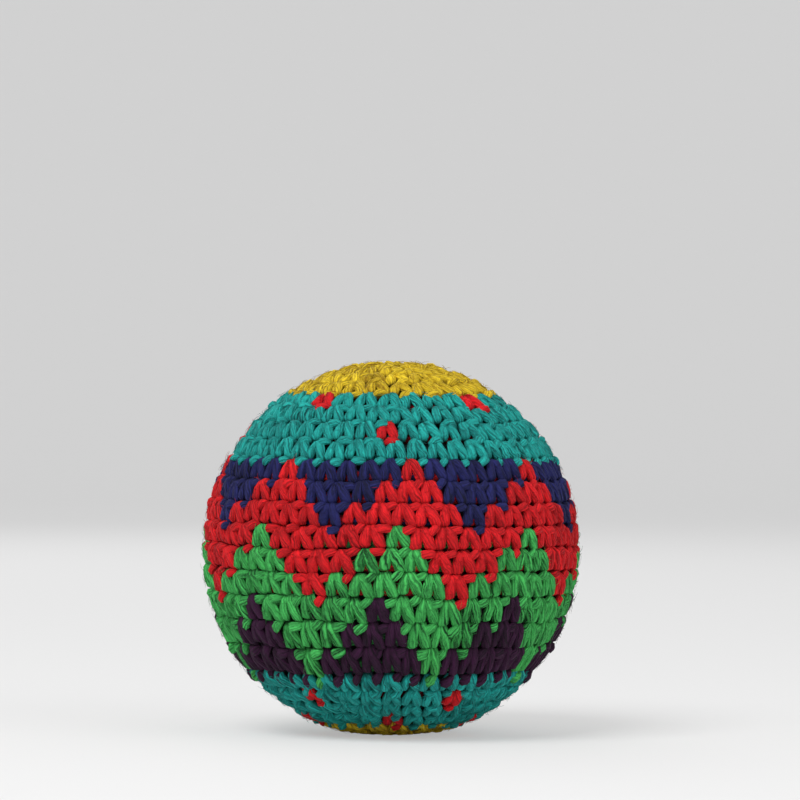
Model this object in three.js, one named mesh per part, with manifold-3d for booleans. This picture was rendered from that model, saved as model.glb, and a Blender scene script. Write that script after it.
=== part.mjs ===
// Crocheted footbag: a ball of single crochet, worked in rounds from the top pole down, filled with pellets.
// Millimetres, +Z up along the pole axis, front towards -Y. The origin is the middle of the flat underneath.
import * as THREE from 'three';
import { mergeVertices } from 'three/addons/utils/BufferGeometryUtils.js';
import Module from 'manifold-3d';

const wasm = await Module();
wasm.setup();

// The cover, a crocheted skin that is pressed flat where the bag stands.
const ballDiameter = 60;
const restFlatDiameter = 15;
const coverThickness = 3;
const pressedThickness = 2;
const stitchRelief = 0.6;
const startHoleDiameter = 4;
const closingHoleDiameter = 4;

// Clearance between pieces that touch, and how far a cut runs on past the surface.
const pieceGap = 0.3;
const cutOverrun = 1;

// Yarn that is carried behind another colour, and the single stitches that it shows in front.
const strandDiameter = 1.2;
const spotDepth = 1.5;
const strandLegShare = 0.35;

// Pellets are short rounded cylinders. Most have settled in a bed, and a few lie loose on top of it.
const pelletDiameter = 4;
const pelletLength = 3.4;
const pelletEdge = 0.7;
const bedHeight = 33;
const bedMound = 4;
const pelletSunkShare = 0.35;
const pelletSpreadShare = 0.8;
const loosePellets = 8;

// Rounds of stitches, counted from the top pole.
const motifRepeats = 8;
const stitchesPerRepeat = 6;
const stitchesPerStep = 6;
const rowsPerTriangle = 3;
const yellowRounds = 4;

// Degrees of latitude and azimuth. Azimuth 0 is the front and grows towards +X.
const fullTurnDegrees = 360;
const goldenDegrees = 137.5;
const motifTopDegrees = 30.7;
const motifBottomDegrees = -39.3;
const motifStartDegrees = 4.83;
const stitchLeanShare = 0.245;

// The filling's weight stretches the pattern's lowest rows, so the rows above them lie higher than even rows.
const motifLiftDegrees = 3.4;
const mostLiftedShare = 2 / 3;

// How many sides and steps the round shapes have.
const strandSides = 4;
const knotSides = 6;
const pelletSides = 8;
const bedSides = 20;
const bedSeatSteps = 2;
const bedArcSteps = 7;
const bedTopSteps = 3;

const looks = {
  yellow: { color: '#e1c828', roughness: 0.8, metalness: 0 },
  teal: { color: '#239682', roughness: 0.8, metalness: 0 },
  navy: { color: '#161a4a', roughness: 0.8, metalness: 0 },
  red: { color: '#d62226', roughness: 0.8, metalness: 0 },
  green: { color: '#46a53c', roughness: 0.8, metalness: 0 },
  purple: { color: '#3e123e', roughness: 0.8, metalness: 0 },
  pellet: { color: '#e8e4d8', roughness: 0.5, metalness: 0 },
};

// The pattern's yarns from top to bottom. The peaks of each rise into the yarn above it.
const motifYarns = ['navy', 'red', 'green', 'purple'];

// Plain rounds with red stitches, and the azimuth of the red stitch that starts each. The rounds above the
// pattern are counted from the top pole, and those below it from the pattern.
const spottedAbove = [
  { round: 5, spots: 4, spotDegrees: 46.4 },
  { round: 7, spots: 4, spotDegrees: -1.7 },
];
const spottedBelow = [
  { round: 2, spots: 5, spotDegrees: 31.1 },
  { round: 4, spots: 5, spotDegrees: 2.6 },
];

const { degToRad, radToDeg, lerp } = THREE.MathUtils;
const ballRadius = ballDiameter / 2;
const centreHeight = Math.sqrt(ballRadius ** 2 - (restFlatDiameter / 2) ** 2);
const motifStitches = motifRepeats * stitchesPerRepeat;
const motifRows = (motifYarns.length - 1) * rowsPerTriangle;
const roundsAbove = Math.floor(motifStitches / stitchesPerStep);
const roundsBelow = roundsAbove - 1;
const lastMotifRound = roundsAbove + motifRows;
const roundCount = lastMotifRound + roundsBelow;
const spottedRounds = [
  ...spottedAbove,
  ...spottedBelow.map((entry) => ({ ...entry, round: lastMotifRound + entry.round })),
];
const topLatitude = radToDeg(Math.acos(startHoleDiameter / ballDiameter));
const bottomLatitude = -radToDeg(Math.acos(closingHoleDiameter / ballDiameter));
const strandDepth = coverThickness + pieceGap + strandDiameter / 2;
const bedRadius = ballRadius - strandDepth - strandDiameter / 2 - pieceGap;
const bedSeatRadius = ballRadius - coverThickness - pieceGap;
const bedFloor = pressedThickness + pieceGap;

const bag = new THREE.Group();

function addPiece(name, geometry, look) {
  const mesh = new THREE.Mesh(geometry, new THREE.MeshStandardMaterial(looks[look]));
  mesh.name = name;
  bag.add(mesh);
  return mesh;
}

// A point at a depth under the ball's surface. Where the bag stands, the cover is pressed flat on both faces.
function coverPoint(azimuth, latitude, depth) {
  const radius = ballRadius - depth;
  const [turn, rise] = [degToRad(azimuth), degToRad(latitude)];
  const x = radius * Math.cos(rise) * Math.sin(turn);
  const y = -radius * Math.cos(rise) * Math.cos(turn);
  const z = centreHeight + radius * Math.sin(rise);
  const outside = depth < coverThickness / 2;
  const pressed = outside && rise < 0 && Math.hypot(x, y) < restFlatDiameter / 2;
  const floor = outside ? 0 : (pressedThickness * depth) / coverThickness;
  return new THREE.Vector3(x, y, pressed ? floor : Math.max(z, floor));
}

// How much of the lift a row line has: none at the two ends of a band, and all of it at the most lifted line.
function liftShare(share) {
  const shape = (place) => place ** 2 * (1 - place);
  return shape(share) / shape(mostLiftedShare);
}

// A band of rows of stitches: the latitude of each row line, and the azimuth of each stitch border on it.
// The stitches of each row stand a little to the left of those of the row above.
function makeBand({ stitches, rows, top, bottom, start, lift = 0 }) {
  const step = fullTurnDegrees / stitches;
  const latitude = (line) => lerp(top, bottom, line / rows) + lift * liftShare(line / rows);
  const azimuth = (column, line) => start + (column - line * stitchLeanShare) * step;
  return { stitches, rows, latitude, azimuth };
}

function motifBand() {
  const [stitches, rows] = [motifStitches, motifRows];
  const [top, bottom, lift] = [motifTopDegrees, motifBottomDegrees, motifLiftDegrees];
  return makeBand({ stitches, rows, top, bottom, start: motifStartDegrees, lift });
}

// One plain round. The upper cap gains the same number of stitches in each round, and the lower loses them.
function plainBand(round) {
  const above = round <= roundsAbove;
  const place = above ? round : round - lastMotifRound;
  const stitches = above ? place * stitchesPerStep : motifStitches - place * stitchesPerStep;
  const [first, last] = above ? [topLatitude, motifTopDegrees] : [motifBottomDegrees, bottomLatitude];
  const count = above ? roundsAbove : roundsBelow;
  const [top, bottom] = [lerp(first, last, (place - 1) / count), lerp(first, last, place / count)];
  return makeBand({ stitches, rows: 1, top, bottom, start: roundStart(round, stitches) });
}

// A round with red stitches starts with one of them. The other rounds keep the pattern's lean.
function roundStart(round, stitches) {
  const spotted = spottedRounds.find((entry) => entry.round === round);
  const middleShare = (1 - stitchLeanShare) / 2;
  if (spotted) return spotted.spotDegrees - (middleShare * fullTurnDegrees) / stitches;
  const leanDegrees = (stitchLeanShare * fullTurnDegrees) / motifStitches;
  return motifStartDegrees - (round - 1 - roundsAbove) * leanDegrees;
}

// One piece of cover from the stitches of a band that isIn picks. A stitch has a raised middle and a groove
// round it. A border draws back by the inset, towards the side that has more of the piece's stitches.
const coverShape = { inset: pieceGap / 2, front: 0, back: coverThickness, relief: stitchRelief };

function coverPiece(band, isIn, shape = {}) {
  const { inset, front, back, relief } = { ...coverShape, ...shape };
  const positions = [];
  const index = [];
  const known = new Map();
  const wrap = (column) => (column + band.stitches) % band.stitches;
  const has = (row, column) => Number(row >= 0 && row < band.rows && isIn(row, wrap(column)));
  const count = (rows, columns) => rows.flatMap((r) => columns.map((c) => has(r, c))).reduce((a, b) => a + b);

  function vertex(line, column, depth) {
    const key = `${line} ${wrap(column)} ${depth}`;
    if (known.has(key)) return known.get(key);
    const rows = [Math.ceil(line) - 1, Math.floor(line)];
    const columns = [Math.ceil(column) - 1, Math.floor(column)];
    const down = Math.sign(count([rows[1]], columns) - count([rows[0]], columns));
    const across = Math.sign(count(rows, [columns[1]]) - count(rows, [columns[0]]));
    const latitude = band.latitude(line) - down * radToDeg(inset / ballRadius);
    const ringRadius = ballRadius * Math.cos(degToRad(latitude));
    const azimuth = band.azimuth(column, line) + across * radToDeg(inset / ringRadius);
    known.set(key, positions.length / 3);
    positions.push(...coverPoint(azimuth, latitude, depth));
    return known.get(key);
  }

  function addStitch(row, column) {
    const corners = [[row + 1, column], [row + 1, column + 1], [row, column + 1], [row, column]];
    const [bl, br, tr, tl] = corners.map(([line, place]) => vertex(line, place, front + relief));
    const [blBack, brBack, trBack, tlBack] = corners.map(([line, place]) => vertex(line, place, back));
    const middle = vertex(row + 1 / 2, column + 1 / 2, front);
    index.push(middle, bl, br, middle, br, tr, middle, tr, tl, middle, tl, bl);
    index.push(blBack, tlBack, trBack, blBack, trBack, brBack);
    if (!has(row + 1, column)) index.push(br, bl, blBack, br, blBack, brBack);
    if (!has(row - 1, column)) index.push(tl, tr, trBack, tl, trBack, tlBack);
    if (!has(row, column + 1)) index.push(tr, br, brBack, tr, brBack, trBack);
    if (!has(row, column - 1)) index.push(bl, tl, tlBack, bl, tlBack, blBack);
  }

  for (let row = 0; row < band.rows; row += 1) {
    for (let column = 0; column < band.stitches; column += 1) {
      if (has(row, column)) addStitch(row, column);
    }
  }
  const geometry = new THREE.BufferGeometry();
  geometry.setAttribute('position', new THREE.Float32BufferAttribute(positions, 3));
  geometry.setIndex(index);
  return geometry;
}

// Solids for joins and cuts, and back to geometry.
function toSolid(geometry) {
  const bare = geometry.clone();
  bare.deleteAttribute('normal');
  bare.deleteAttribute('uv');
  const merged = mergeVertices(bare);
  const vertProperties = new Float32Array(merged.attributes.position.array);
  const triVerts = new Uint32Array(merged.index.array);
  return new wasm.Manifold(new wasm.Mesh({ numProp: 3, vertProperties, triVerts }));
}

function toGeometry(solid) {
  const { vertProperties, triVerts } = solid.getMesh();
  const geometry = new THREE.BufferGeometry();
  geometry.setAttribute('position', new THREE.BufferAttribute(vertProperties, 3));
  geometry.setIndex(new THREE.BufferAttribute(triVerts, 1));
  return geometry;
}

// A profile of radius and height, turned round the pole axis.
function revolve(profile, sides) {
  return new THREE.LatheGeometry(profile, sides).rotateX(Math.PI / 2);
}

// Points on part of a circle.
function arcPoints(x, y, radius, from, to, steps) {
  return Array.from({ length: steps + 1 }, (_, i) => {
    const turn = degToRad(lerp(from, to, i / steps));
    return new THREE.Vector2(x + radius * Math.cos(turn), y + radius * Math.sin(turn));
  });
}

// The yarn that is carried round behind one row, with a leg to each of its own stitches that isLeg picks.
function carriedYarn(band, row, isLeg) {
  const rise = degToRad(band.latitude(row + 1 / 2));
  const reach = ballRadius - strandDepth;
  const [x, y] = [reach * Math.cos(rise), centreHeight + reach * Math.sin(rise)];
  const section = arcPoints(x, y, strandDiameter / 2, 0, fullTurnDegrees, strandSides);
  section[strandSides].copy(section[0]);
  return toSolid(revolve(section, band.stitches / 2)).add(legs(band, isLeg, 0));
}

// Square legs of yarn between the front stitches and the carried yarn. Grown, they are the holes for them.
function legs(band, isLeg, grow) {
  const firstRowHeight = ballRadius * degToRad(band.latitude(0) - band.latitude(1));
  const inset = (firstRowHeight * (1 - strandLegShare)) / 2 - grow;
  return toSolid(coverPiece(band, isLeg, { inset, front: spotDepth / 2, back: strandDepth, relief: 0 }));
}

// The pattern's colour at a stitch. In each row down, the peaks of the next yarn gain a stitch on both sides.
function motifYarn(row, column) {
  const across = column % stitchesPerRepeat;
  const fromPeak = Math.min(across, stitchesPerRepeat - across);
  const reached = fromPeak <= row % rowsPerTriangle;
  return motifYarns[Math.floor(row / rowsPerTriangle) + Number(reached)];
}

// The first and the last yarn lie in triangles, parted by their neighbour. Carried yarn links the triangles.
function addMotif() {
  const band = motifBand();
  const links = {
    [motifYarns.at(0)]: { row: 0, across: Math.floor(stitchesPerRepeat / 2) },
    [motifYarns.at(-1)]: { row: motifRows - 1, across: 0 },
  };
  for (const yarn of motifYarns) {
    let solid = toSolid(coverPiece(band, (row, column) => motifYarn(row, column) === yarn));
    const link = links[yarn];
    if (link) {
      const isLeg = (row, column) => row === link.row && column % stitchesPerRepeat === link.across;
      solid = solid.add(carriedYarn(band, link.row, isLeg));
    }
    addPiece(`motif_${yarn}`, toGeometry(solid), yarn);
  }
}

// Red stitches of one round, spread evenly from its first stitch.
function spotColumns(stitches, spots) {
  return Array.from({ length: spots }, (_, i) => Math.round((i * stitches) / spots));
}

// The red yarn of one round, and the room that its stitches and their legs take in the round's own yarn.
function spotYarn(band, isSpot) {
  return toSolid(coverPiece(band, isSpot, { back: spotDepth })).add(carriedYarn(band, 0, isSpot));
}

function spotRoom(band, isSpot) {
  const pocket = { inset: -pieceGap / 2, front: -cutOverrun, back: spotDepth + pieceGap, relief: 0 };
  return toSolid(coverPiece(band, isSpot, pocket)).add(legs(band, isSpot, pieceGap));
}

// The plain rounds above and below the pattern. The closing knot stands for the last yellow round.
function addPlainRounds() {
  for (let round = 1; round <= roundCount; round += 1) {
    if (round > roundsAbove && round <= lastMotifRound) continue;
    const band = plainBand(round);
    const look = round <= yellowRounds || round > roundCount + 1 - yellowRounds ? 'yellow' : 'teal';
    const number = String(round).padStart(2, '0');
    const spotted = spottedRounds.find((entry) => entry.round === round);
    let geometry = coverPiece(band, () => true);
    if (spotted) {
      const columns = spotColumns(band.stitches, spotted.spots);
      const isSpot = (row, column) => columns.includes(column);
      geometry = toGeometry(toSolid(geometry).subtract(spotRoom(band, isSpot)));
      addPiece(`red_spots_round_${number}`, toGeometry(spotYarn(band, isSpot)), 'red');
    }
    addPiece(`round_${number}_${look}`, geometry, look);
  }
}

// The loop that the first round is worked into, and the knot that closes the last one.
function addStartAndEnd() {
  const share = Math.cos(Math.PI / stitchesPerStep);
  const loopReach = (startHoleDiameter / 2) * share - pieceGap;
  const thick = (loopReach - pieceGap / 2) / 2;
  const loopHeight = centreHeight + ballRadius - coverThickness / 2;
  const section = arcPoints(loopReach - thick, loopHeight, thick, 0, fullTurnDegrees, knotSides);
  section[knotSides].copy(section[0]);
  addPiece('start_loop', revolve(section, 2 * knotSides), 'yellow');

  const knotReach = (closingHoleDiameter / 2) * share - pieceGap;
  const half = pressedThickness / 2;
  const unitArc = arcPoints(0, 0, 1, -90, 90, knotSides);
  const profile = unitArc.map(({ x, y }) => new THREE.Vector2(x * knotReach, half + y * half));
  profile.at(0).setX(0);
  profile.at(-1).setX(0);
  addPiece('closing_knot', revolve(profile, 2 * knotSides), 'yellow');
}

// The settled pellets: the inside of the cover up to a low mound.
function bedRim() {
  const rise = Math.asin((bedFloor + bedHeight - centreHeight) / bedRadius);
  return { rise, radius: bedRadius * Math.cos(rise) };
}

function moundHeight(radius) {
  return bedFloor + bedHeight + bedMound * (1 - (radius / bedRim().radius) ** 2);
}

// Under the lowest carried yarn the bed reaches down to the cover, and above it keeps clear of the yarn.
function bedSolid() {
  const rim = bedRim();
  const lowestStrand = Math.max(...spottedRounds.map((entry) => entry.round));
  const seatTop = plainBand(lowestStrand).latitude(1);
  const seat = arcPoints(0, centreHeight, bedSeatRadius, -90, seatTop, bedSeatSteps);
  const side = arcPoints(0, centreHeight, bedRadius, seatTop, radToDeg(rim.rise), bedArcSteps);
  const top = Array.from({ length: bedTopSteps }, (_, i) => {
    const radius = rim.radius * (1 - (i + 1) / bedTopSteps);
    return new THREE.Vector2(radius, moundHeight(radius));
  });
  const profile = [...seat, ...side, ...top];
  profile.forEach((point) => point.setY(Math.max(point.y, bedFloor)));
  profile[0].setX(0);
  return toSolid(revolve(profile, bedSides));
}

// A pellet, or, grown by a clearance, the dimple that it lies in.
function pelletGeometry(grow = 0) {
  const [radius, half] = [pelletDiameter / 2 + grow, pelletLength / 2 + grow];
  const [inner, low] = [radius - pelletEdge, half - pelletEdge];
  const profile = [[0, -half], [inner, -half], [radius, -low], [radius, low], [inner, half], [0, half]];
  return revolve(profile.map(([x, y]) => new THREE.Vector2(x, y)), pelletSides);
}

// Loose pellets lie on the mound in a sunflower spiral, each turned another way.
function placePellet(object, number) {
  const radius = bedRim().radius * pelletSpreadShare * Math.sqrt((number + 1 / 2) / loosePellets);
  const turn = degToRad(goldenDegrees * number);
  const height = moundHeight(radius) + (pelletDiameter / 2) * (1 - 2 * pelletSunkShare);
  object.position.set(radius * Math.sin(turn), -radius * Math.cos(turn), height);
  object.rotation.set(degToRad(goldenDegrees * (number + 1)), 2 * turn, 0);
  object.updateMatrix();
}

function addPellets() {
  let bed = bedSolid();
  for (let number = 0; number < loosePellets; number += 1) {
    const name = `loose_pellet_${String(number + 1).padStart(2, '0')}`;
    const pellet = addPiece(name, pelletGeometry(), 'pellet');
    placePellet(pellet, number);
    bed = bed.subtract(toSolid(pelletGeometry(pieceGap).applyMatrix4(pellet.matrix)));
  }
  addPiece('pellet_bed', toGeometry(bed), 'pellet');
}

addPlainRounds();
addMotif();
addStartAndEnd();
addPellets();

export default bag;
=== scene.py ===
import math
import random

import bpy
from mathutils import Matrix, Vector, noise


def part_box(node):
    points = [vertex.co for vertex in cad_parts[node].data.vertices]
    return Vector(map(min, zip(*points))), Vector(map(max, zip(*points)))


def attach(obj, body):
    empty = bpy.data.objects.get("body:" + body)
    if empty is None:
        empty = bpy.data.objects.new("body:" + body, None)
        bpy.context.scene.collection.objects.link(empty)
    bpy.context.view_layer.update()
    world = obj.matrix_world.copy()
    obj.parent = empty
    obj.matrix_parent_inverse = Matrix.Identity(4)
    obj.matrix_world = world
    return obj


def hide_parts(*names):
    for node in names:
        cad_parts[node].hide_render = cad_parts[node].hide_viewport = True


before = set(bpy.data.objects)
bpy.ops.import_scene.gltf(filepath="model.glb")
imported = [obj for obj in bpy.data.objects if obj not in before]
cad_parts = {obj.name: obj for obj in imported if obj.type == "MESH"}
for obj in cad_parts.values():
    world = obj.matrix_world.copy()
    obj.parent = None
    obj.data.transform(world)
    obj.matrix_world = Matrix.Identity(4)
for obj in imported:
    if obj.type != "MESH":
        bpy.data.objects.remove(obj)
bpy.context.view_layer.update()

MM = 0.001
TAU = 2 * math.pi

# The ball, as the frame has it.
BALL_RADIUS = 30 * MM
REST_FLAT_RADIUS = 7.5 * MM
HOLE_RADIUS = 2 * MM
CENTRE_HEIGHT = math.sqrt(BALL_RADIUS**2 - REST_FLAT_RADIUS**2)

# Rounds of stitches, counted from the top pole. Azimuth 0 is the front and grows towards +X.
MOTIF_YARNS = ["navy", "red", "green", "purple"]
MOTIF_REPEATS = 8
STITCHES_PER_REPEAT = 6
STITCHES_PER_STEP = 6
ROWS_PER_TRIANGLE = 3
YELLOW_ROUNDS = 4
MOTIF_TOP_DEGREES = 30.7
MOTIF_BOTTOM_DEGREES = -39.3
MOTIF_START_DEGREES = 4.83
MOTIF_LIFT_DEGREES = 3.4
MOST_LIFTED_SHARE = 2 / 3

# How far a stitch sits to the left of the one above it, in stitches, and the most that it widens downwards.
STITCH_LEAN_SHARE = 0.245
MOST_FLARE = 0.4

# Rounds with red stitches: how many, and the azimuth of the one that starts the round.
SPOTTED_ROUNDS = {5: (4, 46.4), 7: (4, -1.7), 19: (5, 31.1), 21: (5, 2.6)}

MOTIF_STITCHES = MOTIF_REPEATS * STITCHES_PER_REPEAT
MOTIF_ROWS = (len(MOTIF_YARNS) - 1) * ROWS_PER_TRIANGLE
ROUNDS_ABOVE = MOTIF_STITCHES // STITCHES_PER_STEP
ROUNDS_BELOW = ROUNDS_ABOVE - 1
ROUND_COUNT = ROUNDS_ABOVE + MOTIF_ROWS + ROUNDS_BELOW
POLE_DEGREES = math.degrees(math.acos(HOLE_RADIUS / BALL_RADIUS))

# Depths under the ball's surface, and the thickness that a stitch's own unit of depth stands for. The yarn's
# finish paints the deeper ones darker, as shade.
STITCH_DEPTH = 1.15 * MM
CARRIED_DEPTH = 2.0 * MM
PLAIN_CARRIED_DEPTH = 2.35 * MM
BACK_DEPTH = 2.75 * MM
BACK_HALF_THICKNESS = 0.6 * MM
BACK_HALF_HEIGHT_SHARE = 0.54
STITCH_UNIT = 3.9 * MM

# How many sides the yarns and pellets have, and the fewest steps of a round's back.
LEG_SIDES = 7
LOOP_SIDES = 6
FIBRE_SIDES = 3
RING_SIDES = 8
PELLET_SIDES = 8
FEWEST_STEPS = 12

# Points closer than these count as level, in a tube's own units, and as one point, in metres.
LEVEL_REACH = 1e-4
MERGE_REACH = 1e-6

# The loop that the top round is worked into, drawn up tight, and the knot that draws the last round shut.
# Each turn has a radius, a half thickness and a lift in mm, its stretch across, and a tilt about an axis.
BALL_TOP = CENTRE_HEIGHT + BALL_RADIUS
TURN_STEPS = 16
LOOP_TURNS = [(1.3, 0.58, -1.25, 1.22, 12, "X"), (1.15, 0.56, -0.95, 0.82, -16, "Y")]
KNOT_TURNS = [
    (1.1, 0.5, -0.35, 1.3, 10, "X"),
    (1.0, 0.5, -0.65, 0.75, -16, "Y"),
    (0.8, 0.45, -0.75, 1.0, 40, "X"),
]

# Pellets, each with its rims cut by the edge, and the bed that they settle into.
PELLET_RADIUS = 2 * MM
PELLET_LENGTH = 3.4 * MM
PELLET_EDGE = 0.6 * MM
PELLET_PITCH = 4.2 * MM
PELLET_SMOOTH_DEGREES = 50
# Close packing: the distance of rows and of layers, in pitches. Each pellet is shaken by up to so many mm.
ROW_SHARE = 0.866
LAYER_SHARE = 0.816
SHAKE = 0.2
# Room to the cover and to the bed's top in pellet radii, and to loose pellets in pitches.
COVER_ROOM = 1.15
TOP_ROOM = 1.05
LOOSE_ROOM = 0.95
BED_FLOOR = 2.3 * MM
BED_RADIUS = 25.2 * MM
BED_RIM_HEIGHT = BED_FLOOR + 33 * MM
BED_RIM_RADIUS = math.sqrt(BED_RADIUS**2 - (BED_RIM_HEIGHT - CENTRE_HEIGHT) ** 2)
BED_MOUND = 4 * MM

# How a row wavers: over what length, and by how much of a stitch across, inwards and up.
SLACK_SPAN = 9 * MM
SLACK_SHARES = (0.13, 0.05, 0.17)

# How one stitch differs from the next: its turn, its size across, inwards and up, and its shift.
STITCH_TURN_DEGREES = 5
STITCH_SIZES = ((1.0, 1.1), (0.95, 1.1), (1.0, 1.07))
STITCH_SHIFT = 0.03

# How far a flattened bottom eases in above the floor.
REST_EASE = 0.9 * MM

# Colours as they look in plain light. A yarn has a lit and a shaded colour, and the finish mixes them both
# for the yarn's own changes of tone and as painted light and shade on its plies and fibres.
YARN_COLOURS = {
    "yellow": ("#f0d02c", "#7e5d06"),
    "teal": ("#22b1a8", "#034a4a"),
    "navy": ("#232663", "#06071e"),
    "red": ("#ea1b23", "#7c060d"),
    "green": ("#4ac15f", "#012c10"),
    "purple": ("#3c1338", "#0e030f"),
}
# The near black that the yarn's finish paints deep in the crochet as shade.
PAINTED_SHADE_COLOUR = "#050305"
PELLET_COLOURS = ("#d8d2c0", "#f2efe6")
PAPER_COLOUR = "#e8e8e8"

# The camera, level and far off, as the photograph was taken: in ball radii from the ball's middle.
CAMERA_RIGHT_SHARE = 0.039
CAMERA_UP_SHARE = 0.788
CAMERA_BACK_SHARE = 22.8
CAMERA_ROLL_DEGREES = -0.5
CAMERA_LENS = 195
CAMERA_NEAREST = 0.01

# The even light of the room, and the level at which the camera sees what lies beyond the floor, which is
# that of the floor's far end.
ROOM_LEVEL = 0.55
WALL_LEVEL = 0.62

# The lamps: name, place, size and watts.
LAMPS = [
    ("key", (-0.35, -0.55, 0.75), 0.5, 6.5),
    ("fill", (0.6, -0.5, 0.35), 0.6, 2.0),
    ("back", (-0.25, 0.75, 0.55), 0.6, 1.5),
]

# The paper floor, which curves up to a wall behind.
FLOOR_WIDTH = 6
PAPER_RISE = 4
PAPER_CURVE = 1.5
PAPER_CURVE_STEPS = 24
PAPER_EVEN_SHARE = 0.5

# Seeds, so that every run makes the same bag. Left alone, the noise would start from the time of day.
SEED = 7
luck = random.Random(SEED)
noise.seed_set(SEED)


def lift_share(share):
    """How much the filling's weight lifts a row line of the pattern above its even place."""
    return share**2 * (1 - share) / (MOST_LIFTED_SHARE**2 * (1 - MOST_LIFTED_SHARE))


class Round:
    """One round of stitches between two latitudes."""

    def __init__(self, number):
        self.number = number
        self.motif_row = number - 1 - ROUNDS_ABOVE
        if self.motif_row < 0:
            self.stitches = number * STITCHES_PER_STEP
            first, last, place, count = POLE_DEGREES, MOTIF_TOP_DEGREES, number - 1, ROUNDS_ABOVE
        elif self.motif_row < MOTIF_ROWS:
            self.stitches = MOTIF_STITCHES
            first, last, place, count = MOTIF_TOP_DEGREES, MOTIF_BOTTOM_DEGREES, self.motif_row, MOTIF_ROWS
        else:
            place, count = self.motif_row - MOTIF_ROWS, ROUNDS_BELOW
            self.stitches = MOTIF_STITCHES - (place + 1) * STITCHES_PER_STEP
            first, last = MOTIF_BOTTOM_DEGREES, -POLE_DEGREES
        lift = MOTIF_LIFT_DEGREES if self.in_motif() else 0
        line = lambda share: first + (last - first) * share + lift * lift_share(share)
        self.top, self.bottom = line(place / count), line((place + 1) / count)
        self.step = 360 / self.stitches
        self.start = MOTIF_START_DEGREES - self.motif_row * STITCH_LEAN_SHARE * 360 / MOTIF_STITCHES
        self.spots = []
        if number in SPOTTED_ROUNDS:
            count, first_spot = SPOTTED_ROUNDS[number]
            self.start = first_spot - (1 - STITCH_LEAN_SHARE) / 2 * self.step
            self.spots = [math.floor(i * self.stitches / count + 0.5) for i in range(count)]

    def azimuth(self, column, down):
        return self.start + (column - down * STITCH_LEAN_SHARE) * self.step

    def latitude(self, down):
        return self.top + (self.bottom - self.top) * down

    def flare(self):
        """How much wider a stitch is at its foot than at its top, as its cell is, within reason."""
        width = lambda down: math.cos(math.radians(self.latitude(down)))
        return max(-MOST_FLARE, min(MOST_FLARE, (width(1) - width(0)) / width(0.5)))

    def in_motif(self):
        return 0 <= self.motif_row < MOTIF_ROWS

    def yarn(self, column, other=False):
        """The yarn that shows at a stitch, or, other, the yarn that is carried behind it."""
        if self.in_motif():
            across = column % STITCHES_PER_REPEAT
            from_peak = min(across, STITCHES_PER_REPEAT - across)
            reached = from_peak <= self.motif_row % ROWS_PER_TRIANGLE
            return MOTIF_YARNS[self.motif_row // ROWS_PER_TRIANGLE + int(reached != other)]
        if self.spots and (column in self.spots) != other:
            return "red"
        return self.plain_yarn()

    def plain_yarn(self):
        yellow = self.number <= YELLOW_ROUNDS or self.number > ROUND_COUNT + 1 - YELLOW_ROUNDS
        return "yellow" if yellow else "teal"

    def back_node(self):
        """The frame's node that the round's back belongs to: in the pattern, a valley's yarn."""
        if self.in_motif():
            return f"motif_{self.yarn(STITCHES_PER_REPEAT // 2)}"
        return f"round_{self.number:02d}_{self.plain_yarn()}"

    def node(self, column, other=False):
        """The frame's node that a stitch, or the yarn behind it, belongs to."""
        if self.in_motif():
            return f"motif_{self.yarn(column, other)}"
        if self.yarn(column, other) == "red":
            return f"red_spots_round_{self.number:02d}"
        return self.back_node()


def on_ball(azimuth, latitude, depth):
    turn, rise = math.radians(azimuth), math.radians(latitude)
    reach = (BALL_RADIUS - depth) * math.cos(rise)
    height = CENTRE_HEIGHT + (BALL_RADIUS - depth) * math.sin(rise)
    return Vector((reach * math.sin(turn), -reach * math.cos(turn), height))


def stitch_place(ring, column, depth):
    """The matrix from a stitch's own frame, X across, Z up and -Y outwards, to its place on the ball."""
    at = lambda across, down: on_ball(ring.azimuth(column + across, 0.5), ring.latitude(down), depth)
    middle = at(0.5, 0.5)
    across = at(1, 0.5) - at(0, 0.5)
    up = at(0.5, 0) - at(0.5, 1)
    inward = (Vector((0, 0, CENTRE_HEIGHT)) - middle).normalized() * STITCH_UNIT
    return Matrix.Translation(middle) @ Matrix((across, inward, up)).transposed().to_4x4()


# Small helpers for modelling by hand.
def select_only(*things):
    bpy.ops.object.select_all(action="DESELECT")
    for thing in things:
        thing.select_set(True)
    bpy.context.view_layer.objects.active = things[0]


def select_ring(piece, height):
    """Selects the vertices of a tube whose stored place along it is at a height."""
    bpy.ops.mesh.select_all(action="DESELECT")
    bpy.ops.object.mode_set(mode="OBJECT")
    lay = piece.data.attributes["lay"].data
    for vertex in piece.data.vertices:
        vertex.select = abs(lay[vertex.index].vector.z - height) < LEVEL_REACH
    bpy.ops.object.mode_set(mode="EDIT")


def store_lay(piece):
    """Keeps a straight tube's shape, so that the yarn's twist follows it when it bends."""
    lay = piece.data.attributes.new("lay", "FLOAT_VECTOR", "POINT")
    for vertex in piece.data.vertices:
        lay.data[vertex.index].vector = vertex.co


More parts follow.
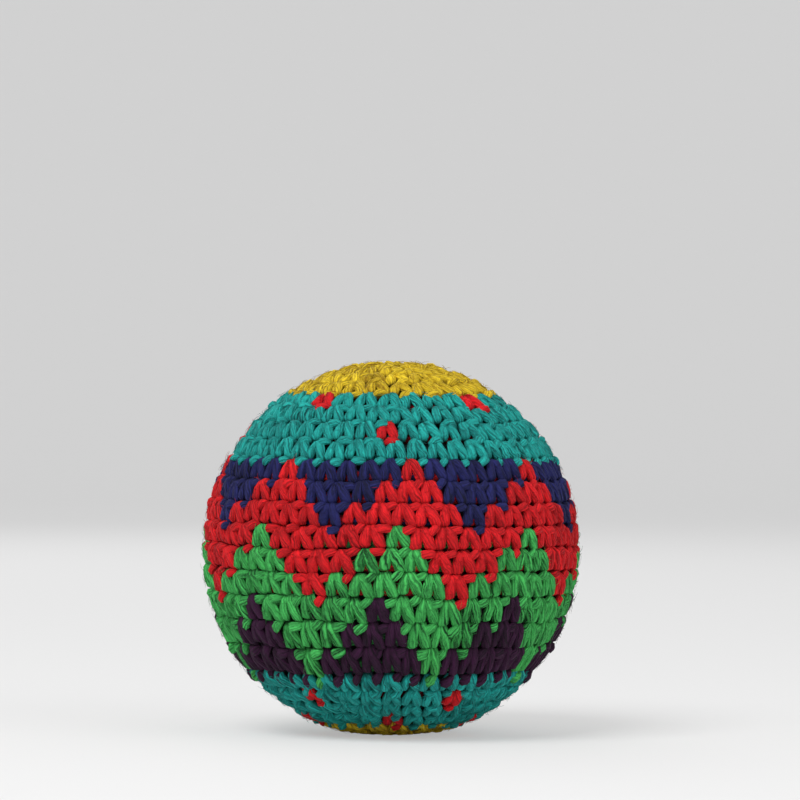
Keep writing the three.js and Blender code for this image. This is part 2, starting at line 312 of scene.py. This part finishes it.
def tube(name, sides, stations):
    """A closed tube up Z. A station is its height, its middle across and inwards, and its half widths."""
    heights = [station[0] for station in stations]
    length = heights[-1] - heights[0]
    levels = [height - heights[0] - length / 2 for height in heights]
    bpy.ops.object.select_all(action="DESELECT")
    bpy.ops.mesh.primitive_cylinder_add(vertices=sides, radius=1, depth=length, location=(0, 0, 0))
    piece = bpy.context.object
    piece.name = name
    bpy.ops.object.mode_set(mode="EDIT")
    for level in levels[1:-1]:
        bpy.ops.mesh.select_all(action="SELECT")
        bpy.ops.mesh.bisect(plane_co=(0, 0, level), plane_no=(0, 0, 1))
    bpy.ops.object.mode_set(mode="OBJECT")
    store_lay(piece)
    bpy.ops.object.mode_set(mode="EDIT")
    bpy.ops.mesh.select_mode(type="VERT")
    for level, (height, across, inward, half_across, half_inward) in zip(levels, stations):
        select_ring(piece, level)
        bpy.ops.transform.resize(value=(half_across, half_inward, 1), center_override=(0, 0, level))
        bpy.ops.transform.translate(value=(across, inward, height - level))
    bpy.ops.object.mode_set(mode="OBJECT")
    bpy.ops.object.shade_smooth()
    return piece


def add_tint(mesh):
    """Room for the number that sets one copy's yarn apart from the next one's."""
    mesh.attributes.new("tint", "FLOAT", "POINT")


def join(name, parts):
    select_only(*parts)
    bpy.ops.object.join()
    piece = bpy.context.object
    piece.name = name
    return piece


# A stitch in its own frame: one cell wide and high, X across, Z up, -Y outwards. Its two legs lean together
# at the top, and the loop at its foot hangs over the notch between two stitches of the next round.
# Stations give height, middle across and inwards, and the half widths across and inwards. A kind of stitch
# has two legs, a loop and the loop's tilt in degrees.
LEFT_LEG = [
    (-0.52, -0.29, 0.12, 0.15, 0.09),
    (-0.4, -0.3, 0, 0.235, 0.15),
    (0, -0.255, -0.02, 0.235, 0.17),
    (0.3, -0.19, 0.01, 0.22, 0.16),
    (0.47, -0.14, 0.13, 0.16, 0.1),
]
RIGHT_LEG = [
    (-0.57, 0.33, 0.12, 0.14, 0.09),
    (-0.42, 0.3, 0, 0.23, 0.15),
    (-0.06, 0.18, -0.05, 0.25, 0.18),
    (0.28, 0.05, -0.05, 0.24, 0.17),
    (0.48, -0.03, 0.11, 0.18, 0.11),
]
WIDE_LEFT_LEG = [
    (-0.48, -0.3, 0.13, 0.15, 0.09),
    (-0.37, -0.31, 0, 0.225, 0.15),
    (0.02, -0.24, -0.02, 0.235, 0.17),
    (0.29, -0.13, 0.01, 0.22, 0.16),
    (0.47, -0.05, 0.13, 0.16, 0.1),
]
STRAIGHT_RIGHT_LEG = [
    (-0.54, 0.31, 0.13, 0.15, 0.09),
    (-0.41, 0.29, 0, 0.235, 0.15),
    (-0.05, 0.18, -0.04, 0.25, 0.18),
    (0.3, 0.08, -0.04, 0.24, 0.17),
    (0.49, 0.03, 0.12, 0.18, 0.11),
]
LOOP = [
    (-0.36, 0, 0.15, 0.13, 0.09),
    (-0.16, 0, 0, 0.2, 0.15),
    (0.16, 0, 0, 0.2, 0.15),
    (0.36, 0, 0.15, 0.13, 0.09),
]
SMALL_LOOP = [
    (-0.31, 0, 0.13, 0.12, 0.08),
    (-0.13, 0, 0, 0.18, 0.14),
    (0.13, 0, 0, 0.18, 0.14),
    (0.31, 0, 0.13, 0.12, 0.08),
]
LOOP_MIDDLE = (0.16, -0.06, -0.69)
STITCH_KINDS = [
    (LEFT_LEG, RIGHT_LEG, LOOP, 62),
    (LEFT_LEG, STRAIGHT_RIGHT_LEG, LOOP, 84),
    (WIDE_LEFT_LEG, RIGHT_LEG, SMALL_LOOP, 48),
    (LEFT_LEG, STRAIGHT_RIGHT_LEG, SMALL_LOOP, 72),
]

# The yarn that is carried behind a stitch, and how far under the stitch's middle it lies.
CARRIED = [(-0.56, 0, 0, 0.24, 0.16), (0, 0, 0, 0.28, 0.19), (0.56, 0, 0, 0.24, 0.16)]
CARRIED_DROP = -0.22

# A stray fibre of the yarn, standing off a stitch. A tuft has several, spread over the stitch, and each has
# its own lift and length.
FIBRE = [
    (-0.20, 0.0, -0.14, 0.013, 0.010),
    (0.02, 0.03, -0.255, 0.009, 0.007),
    (0.20, -0.02, -0.27, 0.004, 0.003),
]
FIBRES_PER_TUFT = 8
TUFT_KINDS = 3
FIBRE_SPREAD = 0.35
FIBRE_LIFTS = (0.7, 1.08)
FIBRE_LENGTHS = (0.5, 1.4)


def tip_over(piece, degrees, middle):
    """Turns a tube in the plane of the stitch and sets its middle."""
    select_only(piece)
    piece.rotation_euler = (0, math.radians(degrees), 0)
    piece.location = middle
    bpy.ops.object.transform_apply(location=True, rotation=True, scale=True)


def model_stitch(left, right, loop, tilt):
    legs = [tube("left_leg", LEG_SIDES, left), tube("right_leg", LEG_SIDES, right)]
    top = tube("top_loop", LOOP_SIDES, loop)
    tip_over(top, tilt, LOOP_MIDDLE)
    stitch = join("stitch", legs + [top])
    add_tint(stitch.data)
    return stitch


def model_carried():
    carried = tube("carried_yarn", LOOP_SIDES, CARRIED)
    tip_over(carried, 90, (0, 0, CARRIED_DROP))
    add_tint(carried.data)
    return carried


def model_tuft():
    """A few stray fibres. Each starts anywhere on a stitch and points anywhere along its face."""
    fibres = [tube("fibre", FIBRE_SIDES, FIBRE) for _ in range(FIBRES_PER_TUFT)]
    for fibre in fibres:
        turn = Matrix.Rotation(luck.uniform(0, TAU), 4, "Y")
        length = Matrix.Diagonal((1, luck.uniform(*FIBRE_LIFTS), luck.uniform(*FIBRE_LENGTHS), 1))
        across = luck.uniform(-FIBRE_SPREAD, FIBRE_SPREAD)
        root = Matrix.Translation((across, 0, luck.uniform(-FIBRE_SPREAD, FIBRE_SPREAD)))
        fibre.data.transform(root @ turn @ length)
    tuft = join("tuft", fibres)
    add_tint(tuft.data)
    return tuft


def placed_copy(model, place, tint, flare=0):
    """A copy of a model with its own mesh, flared to its cell, at its place on the ball."""
    mesh = model.data.copy()
    for vertex in mesh.vertices:
        vertex.co.x *= 1 - flare * vertex.co.z
    mesh.transform(place)
    mesh.attributes["tint"].data.foreach_set("value", [tint] * len(mesh.vertices))
    copy = bpy.data.objects.new(model.name, mesh)
    bpy.context.scene.collection.objects.link(copy)
    return copy


def hand_wobble(middle):
    """A stitch is never quite like the next one, and a row wavers."""
    slack = noise.noise_vector(middle / SLACK_SPAN)
    any_turn = lambda: math.radians(luck.uniform(-STITCH_TURN_DEGREES, STITCH_TURN_DEGREES))
    turn = Matrix.Rotation(any_turn(), 4, "Y")
    tilt = Matrix.Rotation(any_turn(), 4, "X")
    size = Matrix.Diagonal([luck.uniform(*span) for span in STITCH_SIZES] + [1])
    any_shift = lambda: luck.uniform(-STITCH_SHIFT, STITCH_SHIFT)
    shift = Vector([part * share + any_shift() for part, share in zip(slack, SLACK_SHARES)])
    return Matrix.Translation(shift) @ turn @ tilt @ size


def yarn_ring(middle, tilt, half_out, half_up, steps):
    """A ring of yarn round the upright axis, spun from a flattened circle in front of it."""
    bpy.ops.object.select_all(action="DESELECT")
    bpy.ops.mesh.primitive_circle_add(vertices=RING_SIDES, radius=1, rotation=(0, math.radians(90), 0))
    piece = bpy.context.object
    bpy.ops.object.transform_apply(location=True, rotation=True, scale=True)
    bpy.ops.object.mode_set(mode="EDIT")
    bpy.ops.mesh.select_all(action="SELECT")
    bpy.ops.transform.resize(value=(1, half_out, half_up), center_override=(0, 0, 0))
    bpy.ops.transform.rotate(value=tilt, orient_axis="X", center_override=(0, 0, 0))
    bpy.ops.transform.translate(value=middle)
    bpy.ops.mesh.spin(steps=steps, angle=TAU, center=(0, 0, 0), axis=(0, 0, 1), use_auto_merge=True)
    bpy.ops.mesh.select_all(action="SELECT")
    bpy.ops.mesh.remove_doubles(threshold=MERGE_REACH)
    bpy.ops.mesh.normals_make_consistent(inside=False)
    bpy.ops.object.mode_set(mode="OBJECT")
    lay = piece.data.attributes.new("lay", "FLOAT_VECTOR", "POINT")
    for vertex in piece.data.vertices:
        x, y, z = vertex.co
        out = (math.hypot(x, y) + middle.y) / half_up
        along = math.atan2(x, -y) * -middle.y / STITCH_UNIT
        lay.data[vertex.index].vector = (out, (z - middle.z) / half_up, along)
    add_tint(piece.data)
    bpy.ops.object.shade_smooth()
    return piece


def back_ring(ring):
    """The back of one round, which closes the wall behind its stitches."""
    # It lies deep, where the yarn's finish paints it nearly black as shade behind the stitches.
    middle = on_ball(0, ring.latitude(0.5), BACK_DEPTH)
    half_up = BALL_RADIUS * math.radians(ring.top - ring.bottom) * BACK_HALF_HEIGHT_SHARE
    steps = max(FEWEST_STEPS, ring.stitches)
    return yarn_ring(middle, math.radians(ring.latitude(0.5)), BACK_HALF_THICKNESS, half_up, steps)


def wound_turns(name, turns, height):
    """A few turns of yarn round a pole, drawn to ovals that cross each other."""
    rings = []
    for radius, half, lift, stretch, degrees, axis in turns:
        pole = Vector((0, 0, height + lift * MM))
        ring = yarn_ring(pole - Vector((0, radius * MM, 0)), 0, half * MM, half * MM, TURN_STEPS)
        bpy.ops.object.mode_set(mode="EDIT")
        bpy.ops.mesh.select_all(action="SELECT")
        bpy.ops.transform.resize(value=(stretch, 1 / stretch, 1), center_override=pole)
        bpy.ops.transform.rotate(value=math.radians(degrees), orient_axis=axis, center_override=pole)
        bpy.ops.object.mode_set(mode="OBJECT")
        rings.append(ring)
    return join(name, rings)


def model_pellet():
    """A cut length of plastic with its rims rounded off."""
    bpy.ops.object.select_all(action="DESELECT")
    bpy.ops.mesh.primitive_cylinder_add(vertices=PELLET_SIDES, radius=PELLET_RADIUS, depth=PELLET_LENGTH)
    pellet = bpy.context.object
    bpy.ops.object.mode_set(mode="EDIT")
    bpy.ops.mesh.select_all(action="DESELECT")
    bpy.ops.mesh.select_mode(type="FACE")
    bpy.ops.object.mode_set(mode="OBJECT")
    for face in pellet.data.polygons:
        face.select = len(face.vertices) == PELLET_SIDES
    bpy.ops.object.mode_set(mode="EDIT")
    bpy.ops.mesh.bevel(offset=PELLET_EDGE, segments=1, affect="EDGES")
    bpy.ops.object.mode_set(mode="OBJECT")
    bpy.ops.object.shade_smooth_by_angle(angle=math.radians(PELLET_SMOOTH_DEGREES))
    return pellet


def bed_places(loose):
    """Places for settled pellets: close packed layers, a little shaken, clear of the loose ones."""
    pitch = PELLET_PITCH
    middle = Vector((0, 0, CENTRE_HEIGHT))
    layers = int(BED_RIM_HEIGHT / (pitch * LAYER_SHARE)) + 2
    reach = int(BED_RADIUS / pitch) + 2
    for layer in range(layers):
        for row in range(-reach, reach + 1):
            for column in range(-reach, reach + 1):
                x = (column + (row + layer) % 2 / 2) * pitch
                y = (row + layer % 2 / 3) * pitch * ROW_SHARE
                z = BED_FLOOR + PELLET_RADIUS * COVER_ROOM + layer * pitch * LAYER_SHARE
                place = Vector((x, y, z)) + Vector([luck.uniform(-SHAKE, SHAKE) * MM for _ in range(3)])
                away = math.hypot(place.x, place.y)
                mound = BED_RIM_HEIGHT + BED_MOUND * (1 - (away / BED_RIM_RADIUS) ** 2)
                inside = (place - middle).length < BED_RADIUS - PELLET_RADIUS * COVER_ROOM
                under = place.z < mound - PELLET_RADIUS * TOP_ROOM
                clear = all((place - other).length > pitch * LOOSE_ROOM for other in loose)
                if inside and under and clear:
                    yield place


def pellet_bed(loose):
    model = model_pellet()
    pellets = []
    for place in bed_places(loose):
        turned_by = luck.uniform(0, TAU)
        axis = Vector([luck.uniform(-1, 1) for _ in range(3)]).normalized()
        turn = Matrix.Rotation(turned_by, 4, axis)
        mesh = model.data.copy()
        mesh.transform(Matrix.Translation(place) @ turn)
        pellet = bpy.data.objects.new("pellet", mesh)
        bpy.context.scene.collection.objects.link(pellet)
        pellets.append(pellet)
    bpy.data.objects.remove(model)
    return join("settled_pellets", pellets)


def press_flat(piece):
    """The weight of the bag presses its lowest yarn flat on what it rests on."""
    for vertex in piece.data.vertices:
        if vertex.co.z < REST_EASE:
            vertex.co.z = REST_EASE * math.exp(vertex.co.z / REST_EASE - 1)


def crochet():
    """All rounds, stitch by stitch, gathered into one piece for each node."""
    stitches = [model_stitch(*kind) for kind in STITCH_KINDS]
    tufts = [model_tuft() for _ in range(TUFT_KINDS)]
    carried = model_carried()
    gathered = {}
    for number in range(1, ROUND_COUNT + 1):
        ring = Round(number)
        gathered.setdefault(ring.back_node(), []).append(back_ring(ring))
        for column in range(ring.stitches):
            place = stitch_place(ring, column, STITCH_DEPTH)
            place = place @ hand_wobble(place.translation)
            copy = placed_copy(luck.choice(stitches), place, luck.random(), ring.flare())
            gathered.setdefault(ring.node(column), []).append(copy)
            turn = Matrix.Rotation(luck.uniform(0, TAU), 4, "Y")
            hairs = placed_copy(luck.choice(tufts), place @ turn, luck.random())
            gathered[ring.node(column)].append(hairs)
            depth = CARRIED_DEPTH if ring.in_motif() else PLAIN_CARRIED_DEPTH
            behind = placed_copy(carried, stitch_place(ring, column, depth), luck.random(), ring.flare())
            gathered.setdefault(ring.node(column, other=True), []).append(behind)
    for model in [*stitches, *tufts, carried]:
        bpy.data.objects.remove(model)
    return {node: join(f"{node}_yarn", parts) for node, parts in gathered.items()}


# Finishes, written as expressions.
class Wire:
    """A number in a shader. An expression on wires adds the Math nodes that work it out."""

    def __init__(self, shader, socket):
        self.shader, self.socket = shader, socket

    def math(self, operation, first, second=0.0):
        node = self.shader.node("ShaderNodeMath", {"operation": operation}, {0: first, 1: second})
        return Wire(self.shader, node.outputs[0])

    def __add__(self, other):
        return self.math("ADD", self, other)

    def __sub__(self, other):
        return self.math("SUBTRACT", self, other)

    def __mul__(self, other):
        return self.math("MULTIPLY", self, other)

    def __truediv__(self, other):
        return self.math("DIVIDE", self, other)

    def __pow__(self, other):
        return self.math("POWER", self, other)

    def __rsub__(self, other):
        return self.math("SUBTRACT", other, self)

    __radd__ = __add__
    __rmul__ = __mul__


class Shader:
    """The nodes of one material, or of the world, and the way they are added."""

    def __init__(self, owner):
        owner.use_nodes = True
        self.owner, self.tree = owner, owner.node_tree
        self.tree.nodes.clear()

    def node(self, kind, settings, sockets):
        """A node of a kind, with its settings first and then the values or links of its sockets."""
        made = self.tree.nodes.new(kind)
        for name, value in settings.items():
            setattr(made, name, value)
        for name, value in sockets.items():
            if isinstance(value, Wire):
                value = value.socket
            if isinstance(value, bpy.types.NodeSocket):
                self.tree.links.new(value, made.inputs[name])
            else:
                made.inputs[name].default_value = value
        return made

    def wire(self, node, output=0):
        return Wire(self, node.outputs[output])

    def attribute(self, name):
        return self.node("ShaderNodeAttribute", {"attribute_name": name}, {})

    def vector(self, *parts):
        return self.node("ShaderNodeCombineXYZ", {}, dict(enumerate(parts))).outputs[0]

    def noise(self, vector, scale, detail=2.0):
        sockets = {"Vector": vector, "Scale": scale, "Detail": detail}
        return self.wire(self.node("ShaderNodeTexNoise", {}, sockets), "Fac")

    def mix(self, factor, low, high):
        """A colour between two others. A Mix node takes colours at sockets 6 and 7 and gives one at 2."""
        return self.node("ShaderNodeMix", {"data_type": "RGBA"}, {0: factor, 6: low, 7: high}).outputs[2]

    def place(self):
        return self.node("ShaderNodeTexCoord", {}, {}).outputs["Object"]

    def finish(self, settings):
        surface = self.node("ShaderNodeBsdfPrincipled", {}, settings)
        self.node("ShaderNodeOutputMaterial", {}, {"Surface": surface.outputs[0]})
        return self.owner


def plain_colour(code):
    """A colour code as the linear colour that a shader takes."""
    parts = [int(code[i : i + 2], 16) / 255 for i in (1, 3, 5)]
    return [c / 12.92 if c <= 0.04045 else ((c + 0.055) / 1.055) ** 2.4 for c in parts] + [1]


# The yarn's plies round it, how fast they wind, and the sizes of its lint and of its relief.
PLIES = 9
PLY_TWIST = 2.2
PLY_ROUNDNESS = 0.7
LINT_SPAN = 0.38 * MM
YARN_RELIEF = 0.25 * MM
# The yarn's grains: how fine round it and along it, then the noise's scale and detail.
WAVER_GRAIN = (3, 2.0, 1.0, 2.0)
BUNDLE_GRAIN = (0.9, 0.45, 1.8, 3.0)
FIBRE_GRAIN = (2.2, 0.5, 3.0, 3.0)
WAVER_REACH = 2.4
BUNDLE_CONTRAST = 3.4
FIBRE_CONTRAST = 1.8
# Sets the grains of stitches apart.
TINT_SPREAD = 40
# How much each part of the detail brightens the yarn, what is taken off their sum, and how much it lifts it.
# The brightening is partly the yarn's own tone and partly painted light and shade on its plies and fibres.
PLY_LIGHT, BUNDLE_LIGHT, FIBRE_LIGHT, TINT_LIGHT, LINT_LIGHT = 0.2, 0.8, 0.5, 0.2, 0.5
SHADE_TAKEN = 0.58
PLY_LIFT, BUNDLE_LIFT, FIBRE_LIFT, LINT_LIFT = 0.35, 0.6, 0.5, 0.3
# Painted shade: between these depths under the ball's surface the yarn is painted darker, towards near
# black, as shade in the crochet's gaps.
PAINTED_SHADE_START = 0.95 * MM
PAINTED_SHADE_END = 2.3 * MM
PAINTED_SHADE_DIMMING = 0.5
PAINTED_SHADE_BLACKNESS = 0.85
# The pellets' clouds and dents, in waves to the metre, the depth of the dents, and the roughness.
CLOUD_SCALE = 180.0
DENT_SCALE = 1500.0
DENT_DEPTH = 0.1 * MM
PELLET_ROUGHNESS = 0.35
CLOUD_ROUGHNESS = 0.2


def yarn_finish(name, light, dark):
    """Twisted acrylic yarn: plies that wind round it, fine fibres along them, and a soft sheen. Its colour
    carries painted shade between the plies and deep in the crochet's gaps.
    """
    shader = Shader(bpy.data.materials.new(name))
    parts = shader.node("ShaderNodeSeparateXYZ", {}, {0: shader.attribute("lay").outputs["Vector"]})
    out, across, along = (shader.wire(parts, i) for i in range(3))
    tint = shader.wire(shader.attribute("tint"), "Fac")
    turn = out.math("ARCTAN2", across, out) / TAU

    def grain(round_it, sizes):
        wide, long, scale, detail = sizes
        where = shader.vector(round_it * wide, along * long, tint * TINT_SPREAD)
        return shader.noise(where, scale, detail) - 0.5

    strand = turn * PLIES + along * PLY_TWIST + grain(turn, WAVER_GRAIN) * WAVER_REACH
    # Painted shade: a ply is painted lighter on its crest and darker in the grooves between plies, and the
    # bump also raises it.
    ply = (out.math("COSINE", strand * TAU) * 0.5 + 0.5) ** PLY_ROUNDNESS
    bundle = grain(strand, BUNDLE_GRAIN) * BUNDLE_CONTRAST + 0.5
    fibre = grain(strand, FIBRE_GRAIN) * FIBRE_CONTRAST + 0.5
    place = shader.place()
    lint = shader.noise(place, 1 / LINT_SPAN)
    ends = {0: place, 1: (0, 0, CENTRE_HEIGHT)}
    radius = shader.wire(shader.node("ShaderNodeVectorMath", {"operation": "DISTANCE"}, ends), "Value")
    # Painted shade: the deeper a surface lies under the ball's surface, the darker its colour is painted,
    # down to near black.
    sunk = (BALL_RADIUS - PAINTED_SHADE_START - radius) / (PAINTED_SHADE_END - PAINTED_SHADE_START)
    painted_shade = sunk.math("MINIMUM", sunk.math("MAXIMUM", sunk, 0.0), 1.0)
    threads = ply * PLY_LIGHT + bundle * BUNDLE_LIGHT + fibre * FIBRE_LIGHT
    shade = threads + tint * TINT_LIGHT + lint * LINT_LIGHT - painted_shade * PAINTED_SHADE_DIMMING - SHADE_TAKEN
    lit = shade.math("MAXIMUM", shade.math("MINIMUM", shade, 1.0), 0.0)
    yarn = shader.mix(lit, plain_colour(dark), plain_colour(light))
    colour = shader.mix(painted_shade * PAINTED_SHADE_BLACKNESS, yarn, plain_colour(PAINTED_SHADE_COLOUR))
    height = ply * PLY_LIFT + bundle * BUNDLE_LIFT + fibre * FIBRE_LIFT + lint * LINT_LIFT
    bump = shader.node("ShaderNodeBump", {}, {"Strength": 0.75, "Distance": YARN_RELIEF, "Height": height})
    return shader.finish(
        {
            "Base Color": colour,
            "Roughness": 0.86,
            "Specular IOR Level": 0.25,
            "Sheen Weight": 0.2,
            "Sheen Roughness": 0.45,
            "Sheen Tint": plain_colour(light),
            "Normal": bump.outputs[0],
        }
    )


def pellet_finish():
    """Milky plastic with small dents and a faint change of colour from pellet to pellet."""
    shader = Shader(bpy.data.materials.new("pellet_plastic"))
    place = shader.place()
    cloud = shader.noise(place, CLOUD_SCALE)
    dents = shader.noise(place, DENT_SCALE)
    colour = shader.mix(cloud, *[plain_colour(code) for code in PELLET_COLOURS])
    bump = shader.node("ShaderNodeBump", {}, {"Strength": 0.3, "Distance": DENT_DEPTH, "Height": dents})
    roughness = cloud * CLOUD_ROUGHNESS + PELLET_ROUGHNESS
    return shader.finish({"Base Color": colour, "Roughness": roughness, "Normal": bump.outputs[0]})


def paper_finish():
    """Plain pale paper, evened out for the camera so that its far end doesn't fall into shade."""
    shader = Shader(bpy.data.materials.new("floor_paper"))
    colour = plain_colour(PAPER_COLOUR)
    paper = shader.node("ShaderNodeBsdfDiffuse", {}, {"Color": colour})
    even = shader.node("ShaderNodeEmission", {}, {"Color": colour})
    rays = shader.node("ShaderNodeLightPath", {}, {})
    seen = shader.wire(rays, "Is Camera Ray") * PAPER_EVEN_SHARE
    sheet = shader.node("ShaderNodeMixShader", {}, {0: seen, 1: paper.outputs[0], 2: even.outputs[0]})
    shader.node("ShaderNodeOutputMaterial", {}, {"Surface": sheet.outputs[0]})
    return shader.owner


# What the bag stands on, the lamps and the camera.
def add_stage():
    bpy.ops.object.select_all(action="DESELECT")
    bpy.ops.mesh.primitive_plane_add(size=FLOOR_WIDTH, location=(0, 0, 0))
    floor = bpy.context.object
    floor.name = "floor"
    bpy.ops.object.mode_set(mode="EDIT")
    bpy.ops.mesh.select_all(action="DESELECT")
    bpy.ops.mesh.select_mode(type="EDGE")
    bpy.ops.object.mode_set(mode="OBJECT")
    for edge in floor.data.edges:
        edge.select = all(floor.data.vertices[v].co.y > 0 for v in edge.vertices)
    bpy.ops.object.mode_set(mode="EDIT")
    bpy.ops.mesh.extrude_region_move(TRANSFORM_OT_translate={"value": (0, 0, PAPER_RISE)})
    bpy.ops.mesh.select_all(action="DESELECT")
    bpy.ops.object.mode_set(mode="OBJECT")
    for edge in floor.data.edges:
        ends = [floor.data.vertices[v].co for v in edge.vertices]
        edge.select = all(end.y > 0 and end.z < PAPER_RISE / 2 for end in ends)
    bpy.ops.object.mode_set(mode="EDIT")
    bpy.ops.mesh.bevel(offset=PAPER_CURVE, segments=PAPER_CURVE_STEPS)
    bpy.ops.object.mode_set(mode="OBJECT")
    bpy.ops.object.shade_smooth()
    floor.data.materials.append(paper_finish())


def add_lamp(name, place, size, watts):
    lamp = bpy.data.lights.new(name, "AREA")
    lamp.size = size
    lamp.energy = watts
    holder = bpy.data.objects.new(name, lamp)
    bpy.context.scene.collection.objects.link(holder)
    holder.location = place
    aim = Vector((0, 0, CENTRE_HEIGHT)) - Vector(place)
    holder.rotation_euler = aim.to_track_quat("-Z", "Y").to_euler()


def add_camera():
    camera = bpy.data.objects.new("camera", bpy.data.cameras.new("camera"))
    bpy.context.scene.collection.objects.link(camera)
    camera.data.lens = CAMERA_LENS
    camera.data.clip_start = CAMERA_NEAREST
    camera.location = (
        CAMERA_RIGHT_SHARE * BALL_RADIUS,
        -CAMERA_BACK_SHARE * BALL_RADIUS,
        CENTRE_HEIGHT + CAMERA_UP_SHARE * BALL_RADIUS,
    )
    camera.rotation_euler = (math.radians(90), math.radians(CAMERA_ROLL_DEGREES), 0)
    bpy.context.scene.camera = camera


def light_world():
    """Even light from all round, which the camera sees as a plain pale wall."""
    shader = Shader(bpy.data.worlds.new("world"))
    seen = shader.wire(shader.node("ShaderNodeLightPath", {}, {}), "Is Camera Ray")
    strength = seen * (WALL_LEVEL - ROOM_LEVEL) + ROOM_LEVEL
    wall = shader.node("ShaderNodeBackground", {}, {"Color": (1, 1, 1, 1), "Strength": strength})
    shader.node("ShaderNodeOutputWorld", {}, {"Surface": wall.outputs[0]})
    bpy.context.scene.world = shader.owner


def coat(piece, finish):
    piece.data.materials.clear()
    piece.data.materials.append(finish)


add_camera()
add_stage()
for lamp in LAMPS:
    add_lamp(*lamp)
light_world()
bpy.context.scene.view_settings.view_transform = "Standard"

finishes = {yarn: yarn_finish(f"{yarn}_yarn", *codes) for yarn, codes in YARN_COLOURS.items()}
plastic = pellet_finish()
pieces = crochet()
pieces["start_loop"] = wound_turns("start_loop_yarn", LOOP_TURNS, BALL_TOP)
pieces["closing_knot"] = wound_turns("closing_knot_yarn", KNOT_TURNS, 0)
for node, piece in pieces.items():
    press_flat(piece)
    yarn = next((word for word in node.split("_") if word in YARN_COLOURS), "yellow")
    coat(piece, finishes[yarn])
    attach(piece, "root")
    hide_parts(node)
loose = []
for name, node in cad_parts.items():
    if name.startswith("loose_pellet"):
        coat(node, plastic)
        low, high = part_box(name)
        loose.append((Vector(low) + Vector(high)) / 2)
bed = pellet_bed(loose)
coat(bed, plastic)
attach(bed, "root")
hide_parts("pellet_bed")
